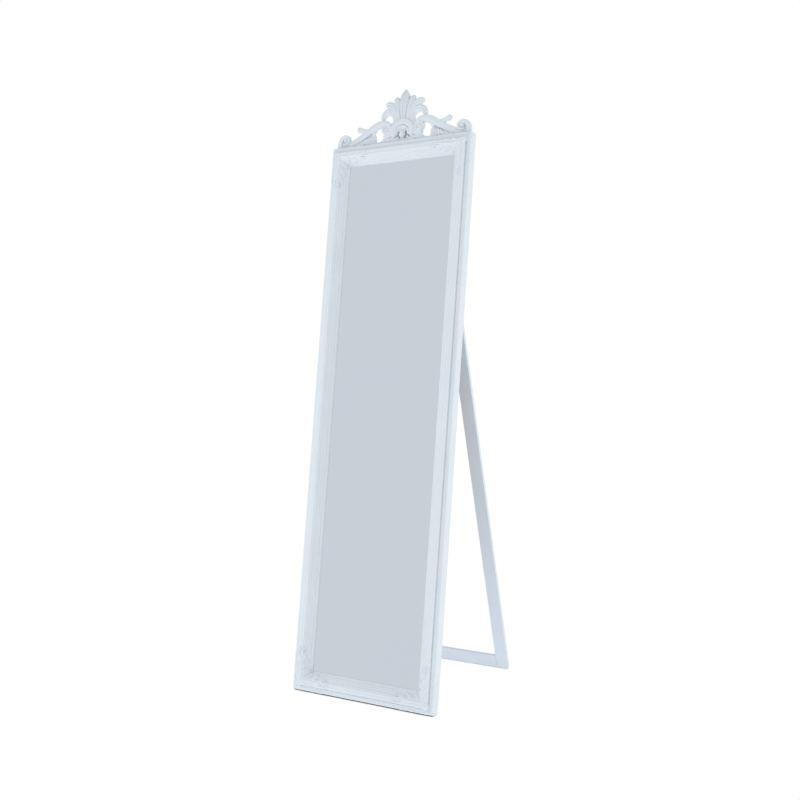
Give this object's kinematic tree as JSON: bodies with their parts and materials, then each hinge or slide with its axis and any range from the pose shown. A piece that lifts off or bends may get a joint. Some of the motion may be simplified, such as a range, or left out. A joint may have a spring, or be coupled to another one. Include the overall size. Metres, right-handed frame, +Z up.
{
  "type": "floor mirror",
  "caption": "Tall free-standing floor mirror in a painted moulded frame with carved corners and a pierced leaf crest, held up by a hinged folding easel back.",
  "frame": {"origin": "on the floor, under the middle of the overall box", "axes": "+Z up; -Y is the way the mirror faces, +Y towards the easel's feet; +X to the right of a viewer facing the glass"},
  "size_m": [0.477, 0.5584, 1.78],
  "materials": {
    "painted_moulding": "cool white satin paint over wood",
    "painted_carving": "cool white satin paint over carved relief",
    "painted_easel": "cool white satin paint over flat boards",
    "mirror_glass": "silvered plate glass",
    "cushion": "soft interleaf sheet",
    "back_board": "plain brown hardboard",
    "steel_plate": "zinc plated, dull",
    "screw_steel": "zinc plated",
    "hinge_brass": "plated, satin",
    "hinge_pin": "drawn steel",
    "screw_brass": "satin",
    "dowel_wood": "bare beech"
  },
  "bodies": {
    "frame": {"top_rail": "painted_moulding", "bottom_rail": "painted_moulding", "left_stile": "painted_moulding", "right_stile": "painted_moulding", "corner_carving_top_left": "painted_carving", "corner_carving_top_right": "painted_carving", "corner_carving_bottom_left": "painted_carving", "corner_carving_bottom_right": "painted_carving", "crest": "painted_carving", "crest_straps": "steel_plate", "crest_strap_screws": "screw_steel", "mirror_glass": "mirror_glass", "cushion_sheet": "cushion", "back_board": "back_board", "back_clips": "steel_plate", "back_clip_screws": "screw_steel", "corner_plates": "steel_plate", "corner_plate_screws": "screw_steel", "hinge_batten": "painted_easel", "batten_screws": "screw_steel", "hinge_left_fixed_leaf": "hinge_brass", "hinge_left_pin": "hinge_pin", "hinge_right_fixed_leaf": "hinge_brass", "hinge_right_pin": "hinge_pin", "hinge_fixed_screws": "screw_brass"},
    "easel": {"easel_left_leg": "painted_easel", "easel_right_leg": "painted_easel", "easel_bottom_rail": "painted_easel", "easel_top_rail": "painted_easel", "easel_dowels": "dowel_wood", "hinge_left_moving_leaf": "hinge_brass", "hinge_right_moving_leaf": "hinge_brass", "hinge_moving_screws": "screw_brass"}
  },
  "joints": [
    {"name": "easel_hinge", "type": "hinge", "parent": "frame", "child": "easel", "pos_m": [0, -0.08117, 1.1738], "axis": [1, 0, 0], "range_deg": [-24.2, 0]}
  ]
}
